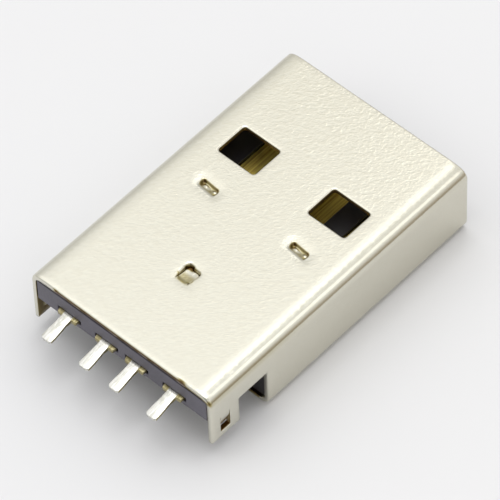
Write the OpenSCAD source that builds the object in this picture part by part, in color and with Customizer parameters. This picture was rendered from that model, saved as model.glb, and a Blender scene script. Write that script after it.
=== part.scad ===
// Board-mount USB-A plug, millimetres. The mouth points to +Y and the solder tails to -Y.
// The plug lies on its lower panel, with the open side of the mouth above the tongue.

/* [Shell] */
// Outer width of the shell
shell_w = 12; // [11.6:0.1:14]
// Outer height of the shell
shell_h = 4.5; // [4.4:0.05:5.5]
// Length of the shell, from its rear edge to the mouth
shell_len = 18.8; // [17.5:0.1:24]
// Thickness of the shell's sheet
sheet_t = 0.3; // [0.2:0.02:0.36]
// Outside radius of the four long bends
bend_r = 0.6; // [0.45:0.05:1]
// Chamfer around the mouth's outer edge
mouth_break = 0.12; // [0.04:0.02:0.2]
// Gap of the butt seam in the lower panel
seam_gap = 0.06; // [0.04:0.01:0.12]

/* [Seam key] */
// How far the dovetail key reaches across the seam
key_reach = 1; // [0.6:0.1:1.4]
// Width of the dovetail key at its neck
key_neck = 1.2; // [0.8:0.1:1.8]
// How much wider the key's head is at each side
key_flare = 0.3; // [0.1:0.05:0.5]
// Distance from the front of the board bay to the middle of the key
key_from_bay = 3.6; // [2:0.1:4.4]

/* [Windows] */
// Width of a latch window, across the plug
window_w = 2.4; // [1.8:0.1:2.8]
// Length of a latch window, along the plug
window_l = 1.95; // [1.4:0.05:2.4]
// Radius of a window's corners
window_r = 0.2; // [0.1:0.05:0.4]
// Distance between the middles of two windows
window_pitch = 6; // [5.4:0.1:6.4]
// Distance from the mouth to a window's front edge
window_set = 5.16; // [4.4:0.02:6]

/* [Board bay] */
// Length of the open bay for the host board, from the rear edge
bay_len = 4; // [3:0.1:5]
// Height of the host board's upper face
board_top = 2.62; // [2.3:0.02:2.7]
// Room between the board's upper face and the side notch
notch_gap = 0.13; // [0.05:0.01:0.3]
// Length of a side leg
leg_len = 2; // [1.7:0.1:2.6]
// Height of a leg's lower edge
leg_z = 1; // [0.6:0.05:1.1]

/* [Leg lances] */
// Distance from the rear edge to a leg's window
leg_window_set = 0.6; // [0.4:0.05:0.8]
// Width of a leg's window
leg_window_w = 0.68; // [0.5:0.02:0.8]
// Height of a leg's window
leg_window_h = 1.12; // [0.9:0.02:1.2]
// Height of the metal left under a leg's window
leg_window_rim = 0.46; // [0.3:0.02:0.6]
// Length of the lance in a leg's window
leg_lance_len = 0.86; // [0.6:0.02:0.88]
// How far the lance's free end is bent inwards
leg_lance_in = 0.25; // [0.1:0.01:0.3]

/* [Top lance] */
// Distance from the rear edge to the lance's bend
lance_set = 4.45; // [4.2:0.05:5.2]
// Width of the lance
lance_w = 0.8; // [0.6:0.05:1]
// Length of the lance
lance_len = 0.8; // [0.6:0.05:1]
// Slit beside the lance
lance_slit = 0.05; // [0.04:0.01:0.08]
// Open length ahead of the lance's free end
lance_gap = 0.32; // [0.26:0.02:0.5]
// Radius of the far corners of the lance's hole
lance_r = 0.25; // [0.1:0.05:0.25]
// How far the lance's free end is bent inwards
lance_drop = 0.36; // [0.2:0.02:0.5]
// How much each face of a lance is thinned by its bending
lance_thin = 0.01; // [0.004:0.002:0.03]

/* [Stake marks] */
// Length of a stake mark, across the plug
stake_l = 1.25; // [1:0.05:1.6]
// Width of a stake mark, along the plug
stake_w = 0.5; // [0.4:0.05:0.6]
// Depth of a stake mark
stake_d = 0.24; // [0.1:0.02:0.28]
// Distance between the middles of the two marks
stake_pitch = 6; // [5.4:0.1:6.4]
// Distance from the cavity's back wall to the middle of a mark
stake_set = 0.55; // [0.5:0.05:1]
// Metal around a mark on the inside of the sheet
stake_wall = 0.1; // [0.05:0.01:0.12]

/* [Strip cut-off] */
// Width of the nicks where the carrier strip was cut off
nick_w = 0.4; // [0.2:0.05:0.6]
// Depth of the nicks
nick_d = 0.1; // [0.05:0.01:0.2]
// Distance between the middles of the two nicks
nick_pitch = 8.6; // [7.6:0.1:9.4]

/* [Insulator] */
// Gap between the insulator and the shell
fit_gap = 0.05; // [0.02:0.01:0.08]
// Height of the cavity above the tongue
cavity_h = 1.95; // [1.8:0.05:2.05]
// Depth of the cavity, from the mouth to its back wall
cavity_depth = 8.7; // [8.4:0.1:9.2]
// How far the tongue's end sits behind the mouth
tongue_set = 0.3; // [0.1:0.05:0.6]
// Chamfer on the tongue's leading edge
tongue_break = 0.25; // [0.1:0.05:0.4]
// How far the slab sits in from the shell's rear edge
slab_set = 0.02; // [0.01:0.01:0.2]
// Gap between the slab's rear stretch and the upper panel
slab_gap = 0.16; // [0.1:0.01:0.3]
// Length of the slab's lowered rear stretch
slab_step = 3.4; // [2:0.1:3.9]
// Step between the bay's front edge and the block's face
block_set = 0.15; // [0.05:0.05:0.3]
// Depth of the recess under a lower window
recess_d = 0.6; // [0.3:0.05:0.8]
// Room around a window in its recess
recess_gap = 0.15; // [0.05:0.05:0.3]

/* [Contacts] */
// Thickness of a contact's strip
contact_t = 0.25; // [0.18:0.01:0.28]
// Distance between the middles of the outer contacts
outer_pitch = 7; // [6.8:0.05:7.2]
// Distance between the middles of the inner contacts
inner_pitch = 2; // [1.8:0.05:2.2]
// Width of a contact on the tongue
blade_w = 1.2; // [0.9:0.05:1.3]
// How far a contact lies below the tongue's surface
blade_sink = 0.19; // [0.1:0.01:0.3]
// Distance from the tongue's end to a contact's tip
tip_set = 0.4; // [0.3:0.05:0.8]
// Length of the tip that is turned down under the tongue's lip
tip_len = 0.7; // [0.5:0.05:1]
// How far the tip is turned down
tip_drop = 0.42; // [0.3:0.02:0.6]
// Distance from the block's face to the step up inside it
step_set = 1.1; // [0.8:0.05:1.6]
// Length of that step
step_len = 1; // [0.8:0.05:1.4]
// Gap around a contact in the insulator
contact_gap = 0.03; // [0.02:0.005:0.05]

/* [Solder tails] */
// How far a tail reaches behind the shell
tail_reach = 1.7; // [1.4:0.05:2.4]
// Width of a tail's foot
foot_w = 0.62; // [0.55:0.01:0.8]
// Width of a tail's neck
neck_w = 0.48; // [0.4:0.01:0.54]
// Chamfer on the corners of a foot's end
foot_break = 0.1; // [0.05:0.01:0.2]
// Drop from a contact's rear stretch to its toe
tail_drop = 0.32; // [0.24:0.02:0.4]
// How much lower a foot's toe is than its heel
toe_drop = 0.13; // [0.02:0.01:0.16]
// Distance from the shell's rear edge to a foot's heel
foot_set = 0.42; // [0.36:0.01:0.6]
// Length over which the neck widens to the foot
foot_taper = 0.15; // [0.05:0.05:0.3]
// Width of a contact at its shoulder
shoulder_w = 1.3; // [1.25:0.01:1.45]
// How far the shoulder stands out behind the shell
shoulder_out = 0.17; // [0.1:0.01:0.25]
// Length of the shoulder inside the insulator
shoulder_len = 3; // [2:0.1:3.6]
// Slit beside a shoulder in the slab
shoulder_slit = 0.12; // [0.05:0.01:0.14]

/* [Hidden] */
$fn = 48;
nickel = [0.82, 0.8, 0.72];
black_plastic = [0.1, 0.1, 0.11];
gold = [0.78, 0.62, 0.3];

// Cuts run this far past the face that they leave
over = 1;
total_len = shell_len + tail_reach;
rear_y = tail_reach - total_len / 2;
inner_w = shell_w - 2 * sheet_t;
inner_h = shell_h - 2 * sheet_t;
inner_r = bend_r - sheet_t;
ceiling_z = shell_h - sheet_t;

window_y = shell_len - window_set - window_l / 2;
notch_z = board_top + notch_gap;
leg_window_z = leg_z + leg_window_rim;
leg_window_top = leg_window_z + leg_window_h;
lance_hole = lance_len + lance_gap;
// Length of a lance's root inside the sheet that it is bent from
root_len = sheet_t / 2;

insulator_w = inner_w - 2 * fit_gap;
insulator_h = inner_h - 2 * fit_gap;
insulator_r = inner_r - fit_gap;
floor_z = sheet_t + fit_gap;
tongue_z = ceiling_z - cavity_h;
wall_y = shell_len - cavity_depth;
tongue_y = shell_len - tongue_set;
block_y = bay_len + block_set;
stake_y = wall_y - stake_set;

foot_z = board_top + contact_t / 2;
rear_z = foot_z + tail_drop;
blade_z = tongue_z - blade_sink - contact_t / 2;
step_y = block_y + step_set;
tip_y = tongue_y - tip_set;
lip_y = tip_y - tip_len;

// Outline tools: offset a run of points to one side, with mitred corners
function unit(v) = v / norm(v);
function side_of(a, b) = let (d = unit(b - a)) [-d[1], d[0]];
function mitre(p, i) =
    i == 0 ? side_of(p[0], p[1]) :
    i == len(p) - 1 ? side_of(p[i - 1], p[i]) :
    let (a = side_of(p[i - 1], p[i]), b = side_of(p[i], p[i + 1])) (a + b) / (1 + a * b);
function beside(p, d) = [for (i = [0 : len(p) - 1]) p[i] + d * mitre(p, i)];
function backwards(p) = [for (i = [len(p) - 1 : -1 : 0]) p[i]];
function strip(p, half) = concat(beside(p, half), backwards(beside(p, -half)));

// Middle line of a contact from tail to tip, with both ends drawn out by spare
function contact_line(spare) = let (tip = unit([tip_len, -tip_drop])) [
    [-tail_reach - spare, foot_z],
    [-foot_set, foot_z + toe_drop],
    [-shoulder_out, rear_z],
    [step_y, rear_z],
    [step_y + step_len, blade_z],
    [lip_y, blade_z],
    [tip_y, blade_z - tip_drop] + spare * tip,
];

module rounded(w, h, r) {
    square([w - 2 * r, h], center = true);
    square([w, h - 2 * r], center = true);
    for (x = [-1, 1], y = [-1, 1])
        translate([x * (w / 2 - r), y * (h / 2 - r)])
            circle(r);
}

// Stand a section in XZ and draw it out from y0 to y1
module along_y(y0, y1) {
    translate([0, y1, 0])
        rotate([90, 0, 0])
            linear_extrude(height = y1 - y0)
                children();
}

// Stand an outline in YZ and draw it out to both sides of x = 0
module along_x(w) {
    rotate([90, 0, 90])
        linear_extrude(height = w, center = true)
            children();
}

// The shell's outer form: a rounded bar, with a bead in its front end that makes the mouth's chamfer
module shell_bar() {
    front = shell_len - mouth_break;
    flat_w = shell_w - 2 * bend_r;
    flat_h = shell_h - 2 * bend_r;
    translate([0, 0, shell_h / 2]) {
        along_y(0, front)
            rounded(shell_w, shell_h, bend_r);
        linear_extrude(height = flat_h, center = true)
            polygon(bead(shell_w / 2, front));
        along_x(flat_w)
            polygon([for (p = bead(shell_h / 2, front)) [p[1], p[0]]]);
        for (x = [-1, 1], z = [-1, 1])
            translate([x * flat_w / 2, front, z * flat_h / 2])
                rotate([90, 0, 0])
                    rotate_extrude()
                        polygon([
                            [0, -mouth_break], [bend_r - mouth_break, -mouth_break], [bend_r, 0],
                            [bend_r - mouth_break, mouth_break], [0, mouth_break],
                        ]);
    }
}

function bead(half, front) = [
    [mouth_break - half, front - mouth_break],
    [half - mouth_break, front - mouth_break],
    [half, front],
    [half - mouth_break, shell_len],
    [mouth_break - half, shell_len],
    [-half, front],
];

// One cut line of the seam, from a to b
module seam_line(a, b) {
    run = b - a;
    translate(a)
        rotate(atan2(run[1], run[0]))
            translate([-seam_gap / 2, -seam_gap / 2])
                square([norm(run) + seam_gap, seam_gap]);
}

// Butt seam along the lower panel, with a dovetail key that locks its two edges
module seam() {
    key_y = bay_len + key_from_bay;
    neck = key_neck / 2;
    head = neck + key_flare;
    line = [
        [0, bay_len - over], [0, key_y - neck], [key_reach, key_y - head],
        [key_reach, key_y + head], [0, key_y + neck], [0, shell_len + over],
    ];
    translate([0, 0, -over])
        linear_extrude(height = over + sheet_t + fit_gap / 2)
            for (i = [1 : len(line) - 1])
                seam_line(line[i - 1], line[i]);
}

// Opens the lower rear of the tube for the board and leaves the two legs
module bay_cut() {
    reach = shell_w + 2 * over;
    translate([-reach / 2, -over, -over])
        cube([reach, bay_len + over, leg_z + over]);
    translate([-reach / 2, leg_len, -over])
        cube([reach, bay_len - leg_len, notch_z + over]);
}

module window_cuts() {
    for (x = [-1, 1])
        translate([x * window_pitch / 2, window_y, -over])
            linear_extrude(height = shell_h + 2 * over)
                rounded(window_w, window_l, window_r);
}

module leg_window_cuts() {
    deep = 2 * sheet_t;
    for (x = [-1, 1])
        translate([x * (shell_w - sheet_t) / 2 - deep / 2, leg_window_set, leg_window_z])
            cube([deep, leg_window_w, leg_window_h]);
}

// A tongue of the leg's own sheet, hinged at the window's upper edge and bent inwards
module leg_lances() {
    out = shell_w / 2 - lance_thin;
    back = shell_w / 2 - sheet_t + lance_thin;
    bend = leg_window_top - lance_slit;
    low = leg_window_top - leg_lance_len;
    high = leg_window_top + root_len;
    for (x = [0, 1])
        mirror([x, 0, 0])
            along_y(leg_window_set + lance_slit, leg_window_set + leg_window_w - lance_slit)
                polygon([
                    [back, high], [out, high], [out, bend],
                    [out - leg_lance_in, low], [back - leg_lance_in, low], [back, bend],
                ]);
}

// Plan of the top lance's hole: square at the bend, with round far corners
module lance_hole_plan() {
    half = lance_w / 2 + lance_slit;
    translate([-half, 0])
        square([2 * half, lance_hole - lance_r]);
    translate([-half + lance_r, 0])
        square([2 * (half - lance_r), lance_hole]);
    for (x = [-1, 1])
        translate([x * (half - lance_r), lance_hole - lance_r])
            circle(lance_r);
}

module top_lance() {
    low = lance_thin;
    high = sheet_t - lance_thin;
    translate([0, lance_set, ceiling_z])
        along_x(lance_w)
            polygon([
                [-root_len, low], [lance_slit, low], [lance_len, low - lance_drop],
                [lance_len, high - lance_drop], [lance_slit, high], [-root_len, high],
            ]);
}

// Places for the two stake marks
module at_stakes() {
    for (x = [-1, 1])
        translate([x * stake_pitch / 2, stake_y, 0])
            children();
}

// Plan of a stake mark, grown by room on each side
module stake_plan(room) {
    rounded(stake_l + 2 * room, stake_w + 2 * room, stake_w / 4 + room);
}

module nick_cuts() {
    for (x = [-1, 1])
        translate([x * nick_pitch / 2 - nick_w / 2, -over, ceiling_z - fit_gap / 2])
            cube([nick_w, over + nick_d, sheet_t + over]);
}

// Folded sheet: a tube with its windows, bay, legs, lances and stake marks
module shell() {
    color(nickel)
        translate([0, rear_y, 0]) {
            difference() {
                union() {
                    difference() {
                        shell_bar();
                        translate([0, 0, shell_h / 2])
                            along_y(-over, shell_len + over)
                                rounded(inner_w, inner_h, inner_r);
                    }
                    at_stakes()
                        translate([0, 0, ceiling_z - stake_d])
                            linear_extrude(height = stake_d + sheet_t / 2)
                                stake_plan(stake_wall);
                }
                bay_cut();
                seam();
                window_cuts();
                leg_window_cuts();
                nick_cuts();
                at_stakes()
                    translate([0, 0, shell_h - stake_d])
                        linear_extrude(height = stake_d + over)
                            stake_plan(0);
                translate([0, lance_set, ceiling_z - fit_gap / 2])
                    linear_extrude(height = sheet_t + over)
                        lance_hole_plan();
            }
            leg_lances();
            top_lance();
        }
}

// Side view of the insulator: slab over the board, block, and tongue
function insulator_outline() = [
    [slab_set, board_top], [block_y, board_top],
    [block_y, 0], [tongue_y, 0],
    [tongue_y, tongue_z - tongue_break], [tongue_y - tongue_break, tongue_z],
    [wall_y, tongue_z], [wall_y, shell_h],
    [slab_step, shell_h], [slab_step, ceiling_z - slab_gap],
    [slab_set, ceiling_z - slab_gap],
];

// Channel for one contact: a slot in the slab and block, and a groove along the tongue
module contact_channel() {
    half = contact_t / 2 + contact_gap;
    line = contact_line(contact_gap);
    groove_w = blade_w + 2 * contact_gap;
    slot_w = shoulder_w + 2 * shoulder_slit;
    along_x(groove_w)
        polygon(strip(line, half));
    intersection() {
        along_x(slot_w)
            polygon(strip(line, half));
        translate([-slot_w / 2, -over, 0])
            cube([slot_w, over + shoulder_len + contact_gap, shell_h]);
    }
    translate([-groove_w / 2, wall_y, blade_z])
        cube([groove_w, lip_y - wall_y, shell_h]);
}

// Pockets that take the top lance and the stakes, and the recesses under the lower windows
module insulator_pockets() {
    half = lance_w / 2 + lance_slit;
    translate([-half, lance_set - sheet_t, ceiling_z - lance_drop - fit_gap])
        cube([2 * half, lance_hole + sheet_t, shell_h]);
    at_stakes()
        translate([0, 0, ceiling_z - stake_d - fit_gap])
            linear_extrude(height = shell_h)
                stake_plan(stake_wall + fit_gap);
    for (x = [-1, 1])
        translate([x * window_pitch / 2, window_y, 0])
            linear_extrude(height = floor_z + recess_d)
                rounded(window_w + 2 * recess_gap, window_l + 2 * recess_gap, window_r + recess_gap);
}

// One black moulding that carries the contacts
module insulator() {
    color(black_plastic)
        translate([0, rear_y, 0])
            difference() {
                intersection() {
                    translate([0, 0, shell_h / 2])
                        along_y(0, shell_len)
                            rounded(insulator_w, insulator_h, insulator_r);
                    along_x(shell_w)
                        polygon(insulator_outline());
                }
                for (x = [-outer_pitch, -inner_pitch, inner_pitch, outer_pitch] / 2)
                    translate([x, 0, 0])
                        contact_channel();
                insulator_pockets();
            }
}

// Half of a contact's plan, from the foot's end to the tip
function contact_half_plan() = [
    [foot_w / 2 - foot_break, -tail_reach], [foot_w / 2, foot_break - tail_reach],
    [foot_w / 2, -foot_set - foot_taper], [neck_w / 2, -foot_set],
    [neck_w / 2, -shoulder_out], [shoulder_w / 2, -shoulder_out],
    [shoulder_w / 2, shoulder_len], [blade_w / 2, shoulder_len],
    [blade_w / 2, shell_len],
];

// Stamped strip: solder tail, shoulder, step inside the block, and blade on the tongue
module contact(x) {
    right = contact_half_plan();
    left = [for (p = backwards(right)) [-p[0], p[1]]];
    color(gold)
        translate([x, rear_y, 0])
            intersection() {
                along_x(shoulder_w + over)
                    polygon(strip(contact_line(0), contact_t / 2));
                linear_extrude(height = shell_h)
                    polygon(concat(right, left));
            }
}

module contact_vbus() { contact(-outer_pitch / 2); }
module contact_d_minus() { contact(-inner_pitch / 2); }
module contact_d_plus() { contact(inner_pitch / 2); }
module contact_ground() { contact(outer_pitch / 2); }

shell();
insulator();
contact_vbus();
contact_d_minus();
contact_d_plus();
contact_ground();
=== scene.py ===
import math

import bmesh
import bpy
import numpy as np
from mathutils import Matrix, Vector
from mathutils.geometry import delaunay_2d_cdt


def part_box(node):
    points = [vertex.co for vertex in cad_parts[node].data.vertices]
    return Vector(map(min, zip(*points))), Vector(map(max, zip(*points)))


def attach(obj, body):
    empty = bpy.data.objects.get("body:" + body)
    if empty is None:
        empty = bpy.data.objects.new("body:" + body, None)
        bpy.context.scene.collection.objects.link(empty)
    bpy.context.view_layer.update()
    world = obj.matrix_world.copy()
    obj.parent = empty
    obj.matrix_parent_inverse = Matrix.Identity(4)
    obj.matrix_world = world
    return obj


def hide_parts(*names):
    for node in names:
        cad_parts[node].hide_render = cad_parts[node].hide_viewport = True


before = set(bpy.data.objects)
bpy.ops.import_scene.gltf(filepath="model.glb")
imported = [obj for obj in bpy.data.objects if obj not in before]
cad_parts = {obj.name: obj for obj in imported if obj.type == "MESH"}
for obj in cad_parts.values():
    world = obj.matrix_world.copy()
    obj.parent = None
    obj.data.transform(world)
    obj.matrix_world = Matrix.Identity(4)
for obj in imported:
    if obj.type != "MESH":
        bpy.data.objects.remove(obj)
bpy.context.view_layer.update()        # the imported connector: shell, insulator and four contacts, in metres
print("frame loaded:", sorted(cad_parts))

mm = 0.001               # shapes below are worked out in millimetres


def hexLinear(code):     # sRGB hex to the linear colour that shaders take
    parts = [int(code[i:i + 2], 16) / 255 for i in (1, 3, 5)]
    return [p / 12.92 if p <= 0.04045 else ((p + 0.055) / 1.055) ** 2.4 for p in parts] + [1.0]


def addNode(tree, kind, settings=None, links=None):     # one node, its settings and what feeds it
    made = tree.nodes.new(kind)
    for key, value in (settings or {}).items():
        if isinstance(key, str) and hasattr(made, key):
            setattr(made, key, value)
        else:
            made.inputs[key].default_value = value
    for key, source in (links or {}).items():
        tree.links.new(source, made.inputs[key])
    return made


def newMaterial(name):   # a material with an empty node tree
    material = bpy.data.materials.new(name)
    material.use_nodes = True
    material.node_tree.nodes.clear()
    return material, material.node_tree


def perMm(size):         # texture scale for a feature of that many millimetres, in object coordinates
    return 1 / (size * mm)


# Bright nickel over cold-rolled strip: a warm pale mirror, softened by a fine leathery grain
nickel = {
    "plate": "#D8D6C9", "warm": "#D2CEBE", "tarnishAndShade": "#A59A6C", "burnAndShade": "#553A1B",
    "sheared": "#C2B684", "torn": "#6A4719",
    "grain": 0.19, "grainHeight": 0.015,       # mm
    "grainStretch": (1.25, 0.85, 1.0),         # along and across its ripple, which runs slantwise
    "grainRear": 0.28, "grainMouth": 0.68,     # the strip is rubbed smoother towards the rear
    "grainBend": 0.35, "bendNear": (0.9, 0.2),     # and drawn smooth over this stretch before the bends
    "wrinkle": 0.3, "wrinkleShare": 0.7, "mottle": 0.5, "mottleShare": 0.4,
    "warmRear": 0.1, "warmMouth": 0.6, "warmPatches": 0.35,
    "scuff": 0.05, "scuffLength": 3.0, "roughness": (0.17, 0.25),              # plain, and in the scuffs
    "tear": 0.06, "tearHeight": 0.006, "tearShare": 0.3,
}


def nickelPlate():
    material, tree = newMaterial("bright nickel plate")
    place = addNode(tree, "ShaderNodeTexCoord").outputs["Object"]
    stainAndShade = addNode(tree, "ShaderNodeAttribute", {"attribute_name": "stainAndShade"}).outputs["Fac"]
    rippled = addNode(tree, "ShaderNodeMapping",
                      {"vector_type": "TEXTURE", "Rotation": (0, 0, math.pi / 4),
                       "Scale": nickel["grainStretch"]}, {"Vector": place}).outputs["Vector"]
    grain = addNode(tree, "ShaderNodeTexNoise",
                    {"Scale": perMm(nickel["grain"]), "Detail": 0.3, "Roughness": 0.5, "Distortion": 0.8},
                    {"Vector": rippled})
    waves = addNode(tree, "ShaderNodeTexNoise",
                    {"Scale": perMm(nickel["wrinkle"]), "Detail": 1.0, "Distortion": 1.2},
                    {"Vector": rippled})
    centred = addNode(tree, "ShaderNodeMath", {"operation": "SUBTRACT", 1: 0.5}, {0: waves.outputs["Fac"]})
    wrinkle = addNode(tree, "ShaderNodeMath", {"operation": "ABSOLUTE"}, {0: centred.outputs["Value"]})
    relief = addNode(tree, "ShaderNodeMath", {"operation": "MULTIPLY_ADD", 1: nickel["wrinkleShare"]},
                     {0: wrinkle.outputs["Value"], 2: grain.outputs["Fac"]})
    mottle = addNode(tree, "ShaderNodeTexNoise",
                     {"Scale": perMm(nickel["mottle"]), "Detail": 3.0}, {"Vector": place})
    drawn = addNode(tree, "ShaderNodeMapping",
                    {"Scale": (1, nickel["scuff"] / nickel["scuffLength"], 1)}, {"Vector": place})
    scuff = addNode(tree, "ShaderNodeTexNoise",
                    {"Scale": perMm(nickel["scuff"]), "Detail": 3.0}, {"Vector": drawn.outputs["Vector"]})
    mixed = addNode(tree, "ShaderNodeMath", {"operation": "MULTIPLY_ADD", 1: nickel["mottleShare"]},
                    {0: mottle.outputs["Fac"], 2: grain.outputs["Fac"]})
    parts = addNode(tree, "ShaderNodeSeparateXYZ", links={"Vector": place}).outputs
    rampAlongY = addNode(tree, "ShaderNodeMapRange",              # warmer towards the mouth, where it is handled
                      {"From Min": shellRear * mm, "From Max": shellMouth * mm, "To Min": nickel["warmRear"],
                       "To Max": nickel["warmMouth"]}, {"Value": parts["Y"]})
    uneven = addNode(tree, "ShaderNodeMapRange",
                     {"From Min": 0.45, "From Max": 0.95, "To Max": nickel["warmPatches"]},
                     {"Value": mixed.outputs["Value"]})
    tint = addNode(tree, "ShaderNodeMath", {"operation": "ADD"},
                   {0: rampAlongY.outputs["Result"], 1: uneven.outputs["Result"]})
    clean = addNode(tree, "ShaderNodeMix",
                    {"data_type": "RGBA", 6: hexLinear(nickel["plate"]), 7: hexLinear(nickel["warm"])},
                    {0: tint.outputs["Value"]})
    # the tarnished and burnt-brown tones below also paint shade and dark reflections onto the plate
    dulled = addNode(tree, "ShaderNodeMapRange", {"From Max": 0.5}, {"Value": stainAndShade})
    burntAndShaded = addNode(tree, "ShaderNodeMapRange", {"From Min": 0.5}, {"Value": stainAndShade})
    tarnishAndShade = addNode(tree, "ShaderNodeMix", {"data_type": "RGBA", 7: hexLinear(nickel["tarnishAndShade"])},
                      {0: dulled.outputs["Result"], 6: clean.outputs[2]})
    colour = addNode(tree, "ShaderNodeMix", {"data_type": "RGBA", 7: hexLinear(nickel["burnAndShade"])},
                     {0: burntAndShaded.outputs["Result"], 6: tarnishAndShade.outputs[2]})
    plain, scuffed = nickel["roughness"]
    rough = addNode(tree, "ShaderNodeMapRange",
                    {"From Min": 0.35, "From Max": 0.7, "To Min": plain, "To Max": scuffed},
                    {"Value": scuff.outputs["Fac"]})
    rubbed = addNode(tree, "ShaderNodeMapRange",
                     {"From Min": shellRear * mm, "From Max": shellMouth * mm, "To Min": nickel["grainRear"],
                      "To Max": nickel["grainMouth"]}, {"Value": parts["Y"]})
    outward = addNode(tree, "ShaderNodeMath", {"operation": "ABSOLUTE"}, {0: parts["X"]})
    start, stop = ((topEdge - near) * mm for near in nickel["bendNear"])
    pressed = addNode(tree, "ShaderNodeMapRange",
                      {"interpolation_type": "SMOOTHSTEP", "From Min": start, "From Max": stop,
                       "To Min": 1.0, "To Max": nickel["grainBend"]}, {"Value": outward.outputs["Value"]})
    depth = addNode(tree, "ShaderNodeMath", {"operation": "MULTIPLY"},
                    {0: rubbed.outputs["Result"], 1: pressed.outputs["Result"]})
    fine = addNode(tree, "ShaderNodeBump", {"Distance": nickel["grainHeight"] * mm},
                   {"Height": relief.outputs["Value"], "Strength": depth.outputs["Value"]})
    shader = addNode(tree, "ShaderNodeBsdfPrincipled", {"Metallic": 1.0},
                     {"Base Color": colour.outputs[2], "Roughness": rough.outputs["Result"],
                      "Normal": fine.outputs["Normal"]})
    addNode(tree, "ShaderNodeOutputMaterial", links={"Surface": shader.outputs["BSDF"]})
    return material


def shearedEdge():       # punched walls, where the plating is thin: golden, with a torn brown lower half
    material, tree = newMaterial("sheared edge with thin nickel")
    place = addNode(tree, "ShaderNodeTexCoord").outputs["Object"]
    tear = addNode(tree, "ShaderNodeTexNoise",
                   {"Scale": perMm(nickel["tear"]), "Detail": 4.0, "Roughness": 0.65}, {"Vector": place})
    # the torn brown share follows the stain attribute, so it also deepens with the painted shade down the
    # punched walls
    depth = addNode(tree, "ShaderNodeAttribute", {"attribute_name": "stainAndShade"}).outputs["Fac"]
    ragged = addNode(tree, "ShaderNodeMath", {"operation": "MULTIPLY_ADD", 1: nickel["tearShare"]},
                     {0: tear.outputs["Fac"], 2: depth})
    share = addNode(tree, "ShaderNodeMapRange", {"From Min": 0.05, "From Max": 0.35},
                    {"Value": ragged.outputs["Value"]})
    colour = addNode(tree, "ShaderNodeMix",
                     {"data_type": "RGBA", 6: hexLinear(nickel["sheared"]), 7: hexLinear(nickel["torn"])},
                     {0: share.outputs["Result"]})
    rough = addNode(tree, "ShaderNodeMapRange", {"To Min": 0.22, "To Max": 0.42},
                    {"Value": tear.outputs["Fac"]})
    bump = addNode(tree, "ShaderNodeBump", {"Distance": nickel["tearHeight"] * mm},
                   {"Height": tear.outputs["Fac"]})
    shader = addNode(tree, "ShaderNodeBsdfPrincipled", {"Metallic": 0.65},    # matt oxide on the torn grain
                     {"Base Color": colour.outputs[2], "Roughness": rough.outputs["Result"],
                      "Normal": bump.outputs["Normal"]})
    addNode(tree, "ShaderNodeOutputMaterial", links={"Surface": shader.outputs["BSDF"]})
    return material


# The shell is blanked flat and then folded, as the real strip is. s runs across the blank from the middle of
# the top, y along it, and t is the depth under its outer face, all in mm
shell = {
    "sheet": 0.3, "bend": 0.6, "seam": 0.06,
    "keyReach": 1.0, "keyNeck": 1.2, "keyFlare": 0.3, "keyFromBay": 3.6,
    "windowWide": 2.46, "windowLong": 2.03, "windowRound": 0.18, "windowPitch": 6.0, "windowFromMouth": 5.16,
    "windowOff": -0.04,                        # the upper pair sits a little to one side
    "bayLong": 4.0, "notchTop": 2.75, "legLong": 2.0, "legLow": 1.0,
    "legWindowRear": 0.6, "legWindowWide": 0.68, "legWindowTop": 2.58, "legWindowTall": 1.12,
    "legLance": 0.75, "legLanceIn": 0.15, "legLanceBend": 0.3, "legSlit": 0.025,
    "lanceRear": 4.45, "lanceLeft": -0.45, "lanceRight": 0.33, "lanceFar": 0.95,
    "lanceCorner": 0.1, "tongueCorner": (0.09, 0.11), "slit": 0.02, "tipSlit": 0.015,
    "lanceHole": (-0.294, 0.85, 0.2),          # the punch's round corner: middle from the root, radius
    "lanceStep": 0.07, "lanceStepRun": 0.1, "lanceSlope": 0.16, "lanceCurl": 0.5, "lanceRoot": 0.14,
    "lanceDish": 0.02, "lanceRound": 0.15,
    "lanceEar": 0.025, "earRun": 0.06, "earFrom": (0.1, 0.15), "earAcross": (-0.322, 0.947),
    "stakeLong": 1.2, "stakeWide": 0.44, "stakeDeep": 0.16, "stakePitch": 6.0, "stakeFromMouth": 9.16,
    "stakeSkew": 0.09,                         # the punch stood a little askew
    "stakeSlope": 0.15, "stakeRun": 0.24, "stakeRamp": (0.42, 0.48), "dish": 0.035, "dishReach": 0.28,
    "stakeLumps": ((-0.17, -0.03, 0.17, 0.1, 0.07), (0.42, 0.0, 0.12, 0.12, 0.1),
                   (-0.46, 0.05, 0.12, 0.2, -0.04)),       # middle, reach and height of each
    "stakeHighlights": ((-0.17, -0.03, 0.18, 0.09), (0.42, 0.0, 0.1, 0.08)),      # middle and reach of each painted highlight
    "nicks": ((-4.3, 0.14, 0.06), (4.06, 0.22, 0.12)),     # in the rear edge: place, width, stain's reach
    "nickDeep": 0.03, "nickLong": 0.07,
    "burntEdge": 4.4,                          # half the stretch of the rear edge painted burnt brown, which also stands for the shade of the gap beneath
    "roll": (0.11, 0.1), "rearRoll": (0.2, 0.1), "windowRoll": (0.12, 0.05),
    "lanceRoll": (0.13, 0.25), "tongueRoll": (0.03, 0.025),
    "burr": 0.02,                              # edges roll in and down where punched, break off below
    "preBend": 0.6, "preBendDrop": 0.035,      # the flat starts to fall away before the bend
    "mouthBreak": 0.05,
    "bendSteps": 14, "flatStep": 0.34, "longStep": 0.5, "closeStep": 0.035, "preBendStep": 0.08,
    "lanceNet": 0.11, "legNet": 0.1,           # spacing of the points around the lances
    "lanceNear": (1.2, 0.9, 1.9), "legNear": (0.2, 1.2),   # and how far they reach
    "edgeClear": 0.025,                        # no loose point lies nearer to an edge
}
low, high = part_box("shell")
shellRear, shellMouth = low.y / mm, high.y / mm
shellWide, shellTall = (high.x - low.x) / mm, high.z / mm

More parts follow.
